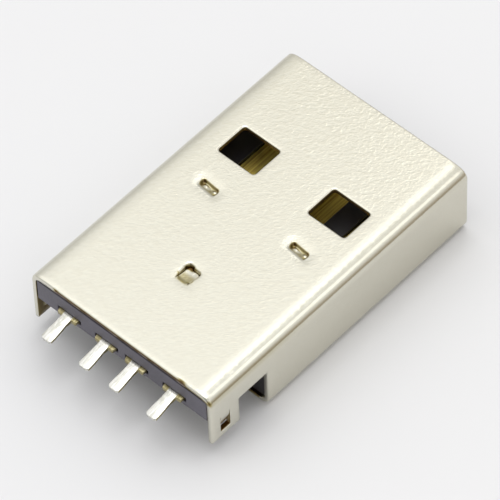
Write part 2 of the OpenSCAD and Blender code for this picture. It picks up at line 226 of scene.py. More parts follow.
arcLong = shell["bend"] * math.pi / 2
topEdge = shellWide / 2 - shell["bend"]                 # where each stretch of the blank ends, as s
wallStart = topEdge + arcLong
wallEnd = wallStart + shellTall - 2 * shell["bend"]
floorStart = wallEnd + arcLong
seamMiddle = floorStart + topEdge


def wallAt(z):           # s of a height on the side wall
    return wallStart + shellTall - shell["bend"] - z


def arcPoints(x, y, r, start, sweep, steps=6):
    return [(x + r * math.cos(start + sweep * i / steps), y + r * math.sin(start + sweep * i / steps))
            for i in range(steps + 1)]


def blankOutline():      # around the blank, metal on the left
    rear, mouth = shellRear, shellMouth
    bay, leg = rear + shell["bayLong"], rear + shell["legLong"]
    notch, legLow = wallAt(shell["notchTop"]), wallAt(shell["legLow"])
    half = shell["seam"] / 2
    keyY = bay + shell["keyFromBay"]
    neck = shell["keyNeck"] / 2
    slant = math.hypot(shell["keyReach"], shell["keyFlare"])
    ease = half * slant / shell["keyReach"]                 # keeps half the gap along the slanted sides

    def key(sign, middle):       # the dovetail's line: sign -1 on the key's own sheet, +1 on its socket
        reach = shell["keyReach"] + sign * half
        flare = shell["keyFlare"] * reach / shell["keyReach"]
        grow = sign * ease
        points = [(sign * half, keyY - neck - grow), (reach, keyY - neck - flare - grow),
                  (reach, keyY + neck + flare + grow), (sign * half, keyY + neck + grow)]
        return [(middle - x, y) for x, y in points]

    right, left = seamMiddle - half, half - seamMiddle
    edge = [(-legLow, rear), (legLow, rear), (legLow, leg), (notch, leg), (notch, bay), (right, bay)]
    edge += key(1, seamMiddle) + [(right, mouth), (left, mouth)]
    edge += list(reversed(key(-1, -seamMiddle)))
    edge += [(left, bay), (-notch, bay), (-notch, leg), (-legLow, leg)]
    return edge


def roundedHole(x, y, wide, tall, r):    # clockwise, so the metal is again on the left
    right, top = wide / 2 - r, tall / 2 - r
    loop = []
    for cx, cy, start in ((right, top, 0), (-right, top, 90), (-right, -top, 180), (right, -top, 270)):
        loop += arcPoints(x + cx, y + cy, r, math.radians(start), math.pi / 2)
    return list(reversed(loop))


def blankHoles():
    holes = []
    windowY = shellMouth - shell["windowFromMouth"] - shell["windowLong"] / 2
    for side in (-1, 1):
        place = side * shell["windowPitch"] / 2 + shell["windowOff"]
        size = (shell["windowWide"], shell["windowLong"], shell["windowRound"])
        holes.append(roundedHole(place, windowY, *size))
        holes.append(roundedHole(side * (seamMiddle - shell["windowPitch"] / 2), windowY, *size))
    root, left, right = shellRear + shell["lanceRear"], shell["lanceLeft"], shell["lanceRight"]
    far, slit = root + shell["lanceFar"], shell["slit"]
    x, up, r = shell["lanceHole"]
    start = math.pi + math.acos((x - left) / r)
    stop = math.asin((shell["lanceFar"] - up) / r)
    opening = [(left, root)] + arcPoints(x, root + up, r, start, stop - start, 10)
    corner, (cutWide, cutLong) = shell["lanceCorner"], shell["tongueCorner"]
    opening += [(right - corner, far), (right, far - corner), (right, root)]
    tongue = [(right - slit, root), (right - slit, far - cutLong)]
    tongue += [(right - slit - cutWide, far - shell["tipSlit"])]
    tongue += arcPoints(x, root + up, r - slit, stop, start - stop, 10) + [(left + slit, root)]
    holes.append(opening + tongue)
    y0 = shellRear + shell["legWindowRear"]
    y1 = y0 + shell["legWindowWide"]
    root = wallAt(shell["legWindowTop"])
    tip, end, slit = root + shell["legLance"], root + shell["legWindowTall"], shell["legSlit"]
    right = [(root, y0), (root, y0 + slit), (tip, y0 + slit), (tip, y1 - slit), (root, y1 - slit), (root, y1),
             (end, y1), (end, y0)]
    holes.append(right)
    holes.append([(-s, y) for s, y in reversed(right)])
    return holes, len(tongue)


def edgeSteps(loop, across, along):      # how many pieces each edge is cut into, to follow the fold
    steps = []
    for a, b in zip(loop, loop[1:] + loop[:1]):
        most = max(abs(b[0] - a[0]) / across, abs(b[1] - a[1]) / along)
        steps.append(max(1, math.ceil(most - 1e-6)))
    return steps


def splitLoop(loop, steps):
    split = []
    for a, b, count in zip(loop, np.roll(loop, -1, 0), steps):
        split += [a + (b - a) * i / count for i in range(count)]
    return np.array(split)


def offsetLoop(loop, distance):          # moves a loop into the metal, with mitred corners
    p = np.array(loop)
    ahead = np.roll(p, -1, 0) - p
    ahead /= np.linalg.norm(ahead, axis=1)[:, None]
    left = np.stack([-ahead[:, 1], ahead[:, 0]], 1)
    before = np.roll(left, 1, 0)
    share = 1 + (left * before).sum(1)
    return p + np.reshape(distance, (-1, 1)) * (left + before) / share[:, None]


def insideLoop(points, loop):            # even-odd test for many points at once
    x, y = points[:, 0], points[:, 1]
    inside = np.zeros(len(points), bool)
    for (ax, ay), (bx, by) in zip(loop, np.roll(loop, -1, 0)):
        if ay == by:
            continue
        crosses = (ay > y) != (by > y)
        inside ^= crosses & (x < (bx - ax) * (y - ay) / (by - ay) + ax)
    return inside


def nearLoop(points, loop, reach):
    near = np.zeros(len(points), bool)
    for a, b in zip(np.array(loop), np.roll(loop, -1, 0)):
        run = b - a
        t = np.clip(((points - a) @ run) / (run @ run), 0, 1)
        near |= np.linalg.norm(points - a - t[:, None] * run, axis=1) < reach
    return near


def fillPoints():        # where the skins get points: dense at the bends, the stake marks and the lance
    def lattice(s0, s1, sStep, y0, y1, yStep):
        s = np.linspace(s0, s1, max(2, round((s1 - s0) / sStep) + 1))
        y = np.linspace(y0, y1, max(2, round((y1 - y0) / yStep) + 1))
        return np.stack(np.meshgrid(s, y), -1).reshape(-1, 2)

    rear, mouth, step = shellRear, shellMouth, shell["flatStep"]
    spread = []
    for side in (-1, 1):
        for s in (topEdge, wallEnd):
            across = arcLong / shell["bendSteps"]
            spread.append(lattice(s, s + arcLong, across, rear, mouth, shell["longStep"]) * (side, 1))
        flat = topEdge - shell["preBend"]
        fine = shell["preBendStep"]
        spread.append(lattice(flat, topEdge - fine, fine, rear, mouth, step) * (side, 1))
        spread.append(lattice(0.0, flat - step / 2, step, rear, mouth, step) * (side, 1))
        spread.append(lattice(wallStart + step, wallEnd - step, step, rear, mouth, step) * (side, 1))
        spread.append(lattice(floorStart + step, seamMiddle, 2 * step, rear, mouth, 2 * step) * (side, 1))
    close = shell["closeStep"]
    for x, y, wide, long in markPlaces():
        for reach, pitch, nudge in ((0.2, close, close / 3), (0.8, 2.4 * close, 0)):
            across, along = wide / 2 + reach, long / 2 + reach
            near = lattice(x - across, x + across, pitch, y - along, y + along, pitch)
            spread.append(near + (nudge, nudge))
    root, net = shellRear + shell["lanceRear"], shell["lanceNet"]
    side, back, ahead = shell["lanceNear"]
    spread.append(lattice(-side, side, net, root - back, root + ahead, net) + (0.004, 0.004))
    legRoot, net = wallAt(shell["legWindowTop"]), shell["legNet"]
    above, below = shell["legNear"]
    y0 = shellRear + shell["legWindowRear"]
    y1 = y0 + shell["legWindowWide"]
    for side in (-1, 1):
        spread.append(lattice(legRoot - above, legRoot + below, net, y0, y1, net) * (side, 1))
    return np.unique(np.round(np.concatenate(spread), 5), axis=0)


def markPlaces():        # middle and size of the two stake marks
    y = shellMouth - shell["stakeFromMouth"]
    return [(side * shell["stakePitch"] / 2, y, shell["stakeLong"], shell["stakeWide"]) for side in (-1, 1)]


def boxDistance(s, y, x, cy, wide, long, r):     # distance from a rounded rectangle, negative inside
    dx = np.abs(s - x) - (wide / 2 - r)
    dy = np.abs(y - cy) - (long / 2 - r)
    return np.hypot(np.maximum(dx, 0), np.maximum(dy, 0)) + np.minimum(np.maximum(dx, dy), 0) - r


def smooth(t):
    t = np.clip(t, 0, 1)
    return t * t * (3 - 2 * t)


def hump(s, y, x, cy, wide, long):       # a soft round bump, 1 at its middle
    return np.exp(-((s - x) / wide) ** 2 - ((y - cy) / long) ** 2)


def lanceGap(s, y):      # distance from the top lance's opening
    left, right, long = shell["lanceLeft"], shell["lanceRight"], shell["lanceFar"]
    middle = shellRear + shell["lanceRear"] + long / 2
    return boxDistance(s, y, (left + right) / 2, middle, right - left, long, shell["lanceRound"])


def lanceRoot(s):        # how far the tongue's bend line curves away from its root, towards the corners
    left, right = shell["lanceLeft"], shell["lanceRight"]
    return shell["lanceRoot"] * np.abs((2 * s - left - right) / (right - left)) ** 4


def lanceHole(s, y):     # distance inside the lance's round corner
    x, up, r = shell["lanceHole"]
    return r - np.hypot(s - x, y - shellRear - shell["lanceRear"] - up)


def lanceEar(s, y):      # how far past the line across the tongue that the punch's round corner pushed down
    (x, down), (slant, ahead) = shell["earFrom"], shell["earAcross"]
    tip = shellRear + shell["lanceRear"] + shell["lanceFar"]
    return (s - shell["lanceLeft"] - x) * slant + (y - tip + down) * ahead


def stakeShare(s, y, x, cy, wide, long):     # 1 on the floor of a stake mark: steep far side, easy near side
    run, (start, ramp) = shell["stakeRun"], shell["stakeRamp"]
    gap = boxDistance(s, y, x, cy - run / 2, wide, long + run, 0.2)
    return smooth((0.02 - gap) / shell["stakeSlope"]) * smooth((y - cy + start) / ramp)


def sheetSink(s, y):     # how far the sheet is pushed in: stake marks, dishes, nicks, the mouth's lead-in
    sink = np.zeros_like(s)
    for x, cy, wide, long in markPlaces():
        cy = cy - shell["stakeSkew"] * (s - x)
        lumps = sum(tall * hump(s, y, x + dx, cy + dy, *reach)
                    for dx, dy, *reach, tall in shell["stakeLumps"])
        sink += (shell["stakeDeep"] - lumps) * stakeShare(s, y, x, cy, wide, long)
        gap = boxDistance(s, y, x, cy, wide, long, long / 3)
        sink += shell["dish"] * np.exp(-(np.maximum(gap, 0) / shell["dishReach"]) ** 2)
    sink += shell["lanceDish"] * np.exp(-(np.maximum(lanceGap(s, y), 0) / shell["dishReach"]) ** 2)
    for x, wide, reach in shell["nicks"]:
        sink += shell["nickDeep"] * hump(s, y, x, shellRear + 0.05, wide, shell["nickLong"])
    lead = np.maximum(0, y - shellMouth + shell["mouthBreak"]) / shell["mouthBreak"]
    sink += 0.5 * shell["mouthBreak"] * lead ** 2
    flat = np.clip((np.abs(s) - topEdge) / shell["preBend"] + 1, 0, 1)
    turn = np.clip((np.abs(s) - topEdge) / arcLong, 0, 1)
    carry = 2 + 2 * arcLong / shell["preBend"]             # the bend takes over at the flat's last slope
    fall = flat ** 2 * (1 + carry * turn) * (1 - turn) ** 2
    return sink + shell["preBendDrop"] * fall


# Bruises in the plating together with painted shade: 0 is bright, 0.5 the tarnished tone and 1 the burnt
# brown, and both tones also stand for painted shade
stainsAndShades = {
    "inner": 0.3, "legInnerShade": 0.78, "bayEdge": 0.9,        # the inner face is duller all over; the legs' inner faces are painted dark for the shade they reflect
    # bend paints a dark reflection along the right bend; corner and cornerEdge are brown that also paints the
    # gap's shade under the top sheet
    "nick": 0.9, "bend": 0.2, "corner": 0.7, "cornerEdge": 0.8,
    # stakeEndShade, stakeCornerShade and stakeFarShade are painted shade in each mark's far left end and
    # along its far wall
    "stakeFloor": 0.1, "stakeEndShade": 0.2, "stakeCornerShade": 0.22, "stakeRight": 0.35, "stakeFarShade": 0.35,
    "stakeAll": 0.28,
    "lanceRim": 0.12, "lanceWallShade": 2.2,                    # the wall's is painted shade, for each mm of depth
    # tongueRootShade, holeFloorShade and holeWallShade are painted shade: in the crease at the tongue's root
    # and in the round hole
    "lanceHalo": 0.14, "tongue": 0.4, "tongueRootShade": 0.5, "holeFloorShade": 0.78, "holeWallShade": 0.4,
    # the leg window's tones are painted shade, deepening inwards and darkest at its foot
    "legWindowShade": 0.1, "legWindowFootShade": 0.8,
}


def rearStainAndShade(s, y, t):      # the cut rear end: its lower face painted burnt brown along its middle, which also paints the shade of the gap under the sheet; nicked; brown at the right corner, partly the same painted shade; and a painted dark reflection along the right bend
    end = y < shellRear + 0.07
    stainAndShade = smooth((t - 0.06) / 0.04) * end * smooth((shell["burntEdge"] - np.abs(s)) / 0.2)
    for x, wide, reach in shell["nicks"]:
        stainAndShade += stainsAndShades["nick"] * np.exp(-((s - x) / wide) ** 2) * smooth((shellRear + reach - y) / 0.05)
    turn = (s - topEdge) / arcLong                         # 0 to 1 round the right bend
    # painted dark reflection along the right bend, strongest towards the rear
    stainAndShade += stainsAndShades["bend"] * np.exp(-((turn - 0.75) / 0.17) ** 2) * smooth(-y / 5) * (t < 0.1)
    corner = np.exp(-((turn - 0.64) / 0.18) ** 2) * smooth((shellRear + 0.16 - y) / 0.1)
    stainAndShade += stainsAndShades["corner"] * corner * (t < 0.12)
    right = end * (s > shell["burntEdge"] - 0.2) * smooth((wallStart - s) / 0.5)
    return stainAndShade + stainsAndShades["cornerEdge"] * right * smooth((t - 0.18) / 0.05)


def stakeStainAndShade(s, y, t):     # painted shade, darkest in each mark's far left corner and along its far wall, and painted highlights on its lumps, over a light tarnish
    stainAndShade = np.zeros_like(s)
    for x, cy, wide, long in markPlaces():
        cy = cy - shell["stakeSkew"] * (s - x)
        inside = smooth((0.06 - boxDistance(s, y, x, cy, wide, long, 0.18)) / 0.12)
        # painted shade in the far left end of the mark
        farEndShade = stainsAndShades["stakeEndShade"] + stainsAndShades["stakeCornerShade"] * smooth((y - cy + 0.12) / 0.2)
        dull = stainsAndShades["stakeFloor"] + farEndShade * smooth((x - 0.34 - s) / 0.14)
        dull += stainsAndShades["stakeRight"] * smooth((s - x - 0.25) / 0.2)
        dull += stainsAndShades["stakeFarShade"] * smooth((y - cy - 0.06) / 0.12)
        # painted highlights: the lumps are kept bright
        paintedHighlight = sum(hump(s, y, x + dx, cy + dy, *reach) for dx, dy, *reach in shell["stakeHighlights"])
        stainAndShade += inside * np.clip(dull * smooth((y - cy + 0.28) / 0.2) - paintedHighlight, 0, 1)
        pushed = smooth(2.5 * stakeShare(s, y, x, cy, wide, long))
        stainAndShade += stainsAndShades["stakeAll"] * pushed * np.clip(1 - paintedHighlight, 0, 1) * (t < 0.1)
    return stainAndShade


def lanceStainAndShade(s, y, t):     # tarnish around the top lance and on its tongue, with painted shade down the opening's wall, along the tongue's root and in the round hole
    gap, hole = lanceGap(s, y), lanceHole(s, y)
    along = y - shellRear - shell["lanceRear"]
    rim = stainsAndShades["lanceRim"] + stainsAndShades["lanceWallShade"] * np.minimum(t, 0.1)
    stainAndShade = rim * smooth((0.14 - np.abs(gap)) / 0.1)
    stainAndShade += stainsAndShades["tongue"] * smooth(-gap / 0.1) * smooth((0.75 - along) / 0.3)
    stainAndShade += stainsAndShades["lanceHalo"] * np.exp(-(np.maximum(gap, 0) / 0.12) ** 2) * (t < 0.05) * (gap > 0)
    # painted shade along the crease at the tongue's root
    stainAndShade += stainsAndShades["tongueRootShade"] * np.exp(-((along - lanceRoot(s) - 0.02) / 0.05) ** 2) * (gap < 0.08)
    # painted shade on the round hole's wall and floor
    wall = stainsAndShades["holeWallShade"] * smooth(t / 0.06) * (hole > -0.15)
    ear = smooth((lanceEar(s, y) + 0.02) / 0.06)
    return stainAndShade + ear * np.where(hole > 0.01, stainsAndShades["holeFloorShade"], wall)


def sheetStainAndShade(s, y, t):     # where the punches tore or bruised the plating, together with the painted shade, painted reflections and painted highlights above
    bay, across = shellRear + shell["bayLong"], np.abs(s)
    cut = np.where(y < bay + 0.05, 0.97, 0.9)              # the cut ends are plated down to their inner edge
    leg = (across > wallStart) & (y < bay)
    stainAndShade = np.where(leg, stainsAndShades["legInnerShade"], stainsAndShades["inner"]) * (t > cut * shell["sheet"])
    stainAndShade += stainsAndShades["bayEdge"] * (t > 0.2) * (np.abs(y - bay) < 0.06) * (across > floorStart)
    stainAndShade += rearStainAndShade(s, y, t) + stakeStainAndShade(s, y, t) + lanceStainAndShade(s, y, t)
    # painted shade in the leg windows, deepening with depth and darkest at the foot
    legRoot, tall = wallAt(shell["legWindowTop"]), shell["legWindowTall"]
    y0, wide = shellRear + shell["legWindowRear"], shell["legWindowWide"]
    window = boxDistance(across, y, legRoot + tall / 2, y0 + wide / 2, tall, wide, 0.02)
    stainAndShade = np.where(window < 0.05, stainsAndShades["legWindowShade"] * t / shell["sheet"], stainAndShade)
    foot = smooth((across - legRoot - tall + 0.03) / 0.03) * (window < 0.05)
    return np.clip(stainAndShade + stainsAndShades["legWindowFootShade"] * foot * (t > 0.05), 0, 1)


def fold(s, y, t):       # blank to folded tube
    side = np.where(s < 0, -1.0, 1.0)
    a = np.abs(s)
    r = shell["bend"]
    half, tall = shellWide / 2, shellTall
    upper = np.clip((a - topEdge) / r, 0, math.pi / 2)
    lower = np.clip((a - wallEnd) / r, 0, math.pi / 2)
    angle = upper + lower
    x = np.minimum(a, topEdge) + r * np.sin(upper) - r * (1 - np.cos(lower)) - np.maximum(0, a - floorStart)
    z = tall - r * (1 - np.cos(upper)) - np.clip(a - wallStart, 0, wallEnd - wallStart) - r * np.sin(lower)
    return np.stack([side * (x - t * np.sin(angle)), y, z - t * np.cos(angle)], -1)


def bentTongue(u, t, angle, soft):       # travel along and inward of a tongue bent over its soft root
    turn = angle * np.clip(u / soft, 0, 1)
    radius = soft / angle
    past = np.maximum(0, u - soft)
    along = radius * np.sin(turn) + past * math.cos(angle) - t * np.sin(turn)
    inward = radius * (1 - np.cos(turn)) + past * math.sin(angle) + t * np.cos(turn)
    return along, inward


def foldSheet(points):   # s, y, t rows to places in the frame, with the three lances bent
    s, y, t = points.T
    sunk = t + sheetSink(s, y)
    place = fold(s, y, sunk)
    root = shellRear + shell["lanceRear"]
    half = shell["slit"] / 2
    tongue = (s > shell["lanceLeft"] + half) & (s < shell["lanceRight"] - half)
    tongue &= (y > root) & (y < root + shell["lanceFar"] - shell["tipSlit"] / 2)
    tongue |= lanceHole(s, y) > half
    u = np.maximum(0, y - root - lanceRoot(s))
    flat = shell["lanceCurl"]
    curl = np.maximum(0, u - flat) ** 2 / (2 * (shell["lanceFar"] - flat))     # the tip comes level again
    inward = sunk + shell["lanceStep"] * smooth(u / shell["lanceStepRun"]) + shell["lanceSlope"] * (u - curl)
    inward += shell["lanceEar"] * smooth(lanceEar(s, y) / shell["earRun"])
    place[tongue] = np.stack([s, y, shellTall - inward], -1)[tongue]
    legRoot = wallAt(shell["legWindowTop"])
    half = shell["legSlit"] / 2
    y0 = shellRear + shell["legWindowRear"] + half
    y1 = y0 + shell["legWindowWide"] - 2 * half
    u = np.abs(s) - legRoot
    tongue = (u > 0) & (u < shell["legLance"] + half) & (y > y0) & (y < y1)
    angle = math.asin(1.15 * shell["legLanceIn"] / shell["legLance"])      # a little more, for the soft root
    along, inward = bentTongue(u, t, angle, shell["legLanceBend"])
    side = np.where(s < 0, -1.0, 1.0)
    place[tongue] = np.stack([side * (shellWide / 2 - inward), y, shell["legWindowTop"] - along], -1)[tongue]
    return place


def foldedShell():
    burr, sheet = shell["burr"], shell["sheet"]
    quarter = [math.pi / 2 * i / 4 for i in range(5)]
    holes, tonguePoints = blankHoles()
    loops = [blankOutline()] + holes
    rolls = [np.full((len(loop), 2), shell["tongueRoll"]) for loop in loops]
    bay = shellRear + shell["bayLong"]
    rolls[0][:] = [shell["rearRoll" if y < bay + 0.01 else "roll"] for s, y in loops[0]]
    for roll in rolls[1:5]:
        roll[:] = shell["windowRoll"]
    rolls[5][1:-tonguePoints - 1] = shell["lanceRoll"]     # the opening's edge, easing off at the root
    steps = [edgeSteps(loops[0], arcLong / shell["bendSteps"], shell["longStep"])]
    steps += [edgeSteps(hole, 2 * shell["closeStep"], 2 * shell["closeStep"]) for hole in loops[1:]]
    rows, faces, sheared = [], [], []
    ringStart = []
    for loop, counts, roll in zip(loops, steps, rolls):
        rings, n = [], sum(counts)
        across, down = roll.T
        profile = [(burr, sheet), (0, sheet - burr)]       # inner skin, round the cut edge, outer skin
        profile += [(across * (1 - math.cos(q)), down * (1 - math.sin(q))) for q in quarter]
        for inset, depth in profile:
            rings.append(len(rows))
            ring = np.column_stack([offsetLoop(loop, inset), np.broadcast_to(depth, len(loop))])
            rows += [tuple(row) for row in splitLoop(ring, counts)]
        ringStart.append(rings)
        for k in range(len(profile) - 1):
            for i in range(n):
                j = (i + 1) % n
                faces.append((rings[k] + i, rings[k] + j, rings[k + 1] + j, rings[k + 1] + i))
                sheared.append(k < 2 and loop is not loops[0])
    spread = fillPoints()
    outer, inner = [roll[:, 0] for roll in rolls], [burr] * len(rolls)
    for insets, depth, ring, flip in ((outer, 0.0, -1, False), (inner, sheet, 0, True)):
        edges, bounds, known = [], [], []
        keep = np.ones(len(spread), bool)
        limits = [offsetLoop(loop, inset) for loop, inset in zip(loops, insets)]
        for i, limit in enumerate(limits):
            keep &= insideLoop(spread, limit) if i == 0 else ~insideLoop(spread, limit)
            keep &= ~nearLoop(spread, limit, shell["edgeClear"])
            first, n = len(known), sum(steps[i])
            edges += [(first + k, first + (k + 1) % n) for k in range(n)]
            known += [ringStart[i][ring] + k for k in range(n)]
            bounds.append(splitLoop(limit, steps[i]))
        free = spread[keep]
        flat = np.concatenate(bounds + [free])
        known += list(range(len(rows), len(rows) + len(free)))
        rows += [(a, b, depth) for a, b in free]
        made = delaunay_2d_cdt([Vector(p) for p in flat], edges, [], 0, 1e-6)
        middle = np.array([np.mean([made[0][v] for v in f], 0) for f in made[2]])
        metal = insideLoop(middle, limits[0])
        for limit in limits[1:]:
            metal &= ~insideLoop(middle, limit)
        directed = set(edges)
        for f, there in zip(made[2], metal):
            corner = [made[3][v][0] for v in f]
            for a, b in zip(corner, corner[1:] + corner[:1]):
                # beside a loop its direction says which side is metal
                there = (there or (a, b) in directed) and (b, a) not in directed
            if there:
                corner = [known[v] for v in corner]
                faces.append(tuple(reversed(corner)) if flip else tuple(corner))
    places = foldSheet(np.array(rows)) * mm
    mesh = bpy.data.meshes.new("shell_sheet")
    mesh.from_pydata(places.tolist(), [], faces)
    mesh.validate()
    mesh.shade_smooth()
    made = bpy.data.objects.new("shell_sheet", mesh)
    bpy.context.collection.objects.link(made)
    mesh.materials.append(nickelPlate())
    mesh.materials.append(shearedEdge())
    sheared += [False] * (len(faces) - len(sheared))
    mesh.polygons.foreach_set("material_index", np.array(sheared, np.int32))
    stainAndShade = sheetStainAndShade(*np.array(rows).T).astype(np.float32)
    mesh.attributes.new("stainAndShade", "FLOAT", "POINT").data.foreach_set("value", stainAndShade)
    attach(made, "root")
    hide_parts("shell")
    print("shell folded:", len(mesh.vertices), "points,", len(mesh.polygons), "faces")


foldedShell()

# Black glass-filled polyester: near-black, satin, with a fine moulded grain and worn patches; its rear end is
# painted lighter grey for the light and sheen it catches
moulding = {
    "black": "#1B181B", "worn": "#252226", "rear": "#5F5C67",
    "grain": 0.09, "grainHeight": 0.0012,      # mm, the grain drawn coarser than real spark texture
    "patch": 1.6, "roughness": (0.37, 0.53),
    "litFromRear": (0.1, 0.02),                     # mm from the rear end: where the painted light starts and is full
    "round": 0.035, "sharp": 18,               # mm, on edges sharper than this many degrees
}


def mouldedPlastic():
    material, tree = newMaterial("black glass-filled polyester")
    place = addNode(tree, "ShaderNodeTexCoord").outputs["Object"]
    grain = addNode(tree, "ShaderNodeTexNoise",
                    {"Scale": perMm(moulding["grain"]), "Detail": 3.0, "Roughness": 0.6}, {"Vector": place})
    patch = addNode(tree, "ShaderNodeTexNoise",
                    {"Scale": perMm(moulding["patch"]), "Detail": 4.0}, {"Vector": place})
    worn = addNode(tree, "ShaderNodeMapRange", {"From Min": 0.45, "From Max": 0.7},
                   {"Value": patch.outputs["Fac"]})
    body = addNode(tree, "ShaderNodeMix",
                   {"data_type": "RGBA", 6: hexLinear(moulding["black"]), 7: hexLinear(moulding["worn"])},
                   {0: worn.outputs["Result"]})
    along = addNode(tree, "ShaderNodeSeparateXYZ", links={"Vector": place}).outputs["Y"]
    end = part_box("insulator")[0].y
    start, full = (end + reach * mm for reach in moulding["litFromRear"])
    rampAlongY = addNode(tree, "ShaderNodeMapRange",       # the rear end is painted lighter grey, as the light it catches
                      {"interpolation_type": "SMOOTHSTEP", "From Min": start, "From Max": full},
                      {"Value": along})
    uneven = addNode(tree, "ShaderNodeMapRange",
                     {"From Min": 0.3, "From Max": 0.7, "To Min": 1.0, "To Max": 0.7},
                     {"Value": patch.outputs["Fac"]})
    share = addNode(tree, "ShaderNodeMath", {"operation": "MULTIPLY"},
                    {0: rampAlongY.outputs["Result"], 1: uneven.outputs["Result"]})
    # painted light: the rear end's lighter grey
    colour = addNode(tree, "ShaderNodeMix", {"data_type": "RGBA", 7: hexLinear(moulding["rear"])},
                     {0: share.outputs["Value"], 6: body.outputs[2]})
    least, most = moulding["roughness"]
    rough = addNode(tree, "ShaderNodeMapRange",
                    {"From Min": 0.3, "From Max": 0.7, "To Min": least, "To Max": most},
                    {"Value": grain.outputs["Fac"]})
    bump = addNode(tree, "ShaderNodeBump", {"Distance": moulding["grainHeight"] * mm},
                   {"Height": grain.outputs["Fac"]})
    shader = addNode(tree, "ShaderNodeBsdfPrincipled", {"IOR": 1.55},
                     {"Base Color": colour.outputs[2], "Roughness": rough.outputs["Result"],
                      "Normal": bump.outputs["Normal"]})
    addNode(tree, "ShaderNodeOutputMaterial", links={"Surface": shader.outputs["BSDF"]})
    return material


def softened(node, width, angle, reshape=None):    # the node's own shape with its sharp edges rounded
    work = bmesh.new()
    work.from_mesh(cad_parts[node].data)
    bmesh.ops.scale(work, vec=(1 / mm,) * 3, verts=work.verts)
    bmesh.ops.remove_doubles(work, verts=work.verts, dist=1e-4)
    bmesh.ops.dissolve_limit(work, angle_limit=math.radians(0.6), verts=work.verts, edges=work.edges)
    if reshape:
        reshape(work)
    sharp = [e for e in work.edges if e.calc_face_angle(0) > math.radians(angle)]
    bmesh.ops.bevel(work, geom=sharp, offset=width, offset_type="OFFSET", segments=2, profile=0.5,
                    affect="EDGES", clamp_overlap=False)
    bmesh.ops.scale(work, vec=(mm,) * 3, verts=work.verts)
    mesh = bpy.data.meshes.new(node + "_softened")
    work.to_mesh(mesh)
    work.free()
    mesh.shade_smooth()
    made = bpy.data.objects.new(mesh.name, mesh)
    bpy.context.collection.objects.link(made)
    made.modifiers.new("even normals", "WEIGHTED_NORMAL").keep_sharp = True
    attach(made, "root")
    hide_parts(node)
    return made


insulatorPiece = softened("insulator", moulding["round"], moulding["sharp"])
insulatorPiece.data.materials.append(mouldedPlastic())
print("insulator softened:", len(insulatorPiece.data.polygons), "faces")

# Phosphor-bronze contacts: gold flash where they wipe in use, bright tin on the tails, bare sheared faces.
# Each finish: its clean and dull colours, its roughness, and how deep its drawn scratches are in mm
contacts = {
    "gold flash": ("#F7E27E", "#C9AA4C", (0.38, 0.52), 0.009),         # warm and worn dull
    "bright tin": ("#E0DFD9", "#C6C5BB", (0.2, 0.34), 0.0007),         # near-white with a soft shine
    "sheared bronze": ("#B9B08A", "#948A62", (0.32, 0.46), 0.003),     # dull yellow with a torn grain
    "streak": 0.09, "streakLength": 4.0, "patch": 0.5,     # mm, drawn along the strip
    "round": 0.016, "sharp": 14,               # mm, on edges sharper than this many degrees
    "bladeFrom": 1.0,
    "hinge": -8.5,                             # the tail starts to slope down at the moulding's rear face
    "shoulder": -8.75, "wing": 0.6, "wingBeyond": 0.5,     # half the shoulder's width; all beyond moves
    "neck": 0.58, "tip": 0.66, "widens": (-9.8, -9.1), "sideBeyond": 0.23, "stripWithin": 0.4,
    "thin": 0.08, "thinFrom": -8.8, "skin": 0.1,           # the tail is rolled thinner, from below
    # y, z along the tail's upper face: as the solid has it, and as the strip really bends
    "solidTop": ((-10.25, 2.871), (-9.018, 2.996), (-8.762, 3.19), (-8.5, 3.19)),
    "bentTop": ((-10.25, 2.829), (-9.87, 2.894), (-9.6, 2.945), (-9.35, 2.996), (-9.12, 3.05),
                (-8.99, 3.085), (-8.92, 3.096), (-8.5, 3.19)),
}


def contactMetal(name):
    clean, dull, (least, most), lines = contacts[name]
    material, tree = newMaterial(name)
    place = addNode(tree, "ShaderNodeTexCoord").outputs["Object"]
    drawn = addNode(tree, "ShaderNodeMapping",
                    {"Scale": (1, contacts["streak"] / contacts["streakLength"], 1)}, {"Vector": place})
    streak = addNode(tree, "ShaderNodeTexNoise",
                     {"Scale": perMm(contacts["streak"]), "Detail": 3.0}, {"Vector": drawn.outputs["Vector"]})
    patch = addNode(tree, "ShaderNodeTexNoise",
                    {"Scale": perMm(contacts["patch"]), "Detail": 3.0}, {"Vector": place})
    fade = addNode(tree, "ShaderNodeMapRange", {"From Min": 0.38, "From Max": 0.62},
                   {"Value": streak.outputs["Fac"]})
    colour = addNode(tree, "ShaderNodeMix",
                     {"data_type": "RGBA", 6: hexLinear(clean), 7: hexLinear(dull)},
                     {0: fade.outputs["Result"]})
    rough = addNode(tree, "ShaderNodeMapRange",
                    {"From Min": 0.3, "From Max": 0.7, "To Min": least, "To Max": most},
                    {"Value": patch.outputs["Fac"]})
    bump = addNode(tree, "ShaderNodeBump", {"Distance": lines * mm}, {"Height": streak.outputs["Fac"]})
    shader = addNode(tree, "ShaderNodeBsdfPrincipled", {"Metallic": 1.0},
                     {"Base Color": colour.outputs[2], "Roughness": rough.outputs["Result"],
                      "Normal": bump.outputs["Normal"]})
    addNode(tree, "ShaderNodeOutputMaterial", links={"Surface": shader.outputs["BSDF"]})
    return material


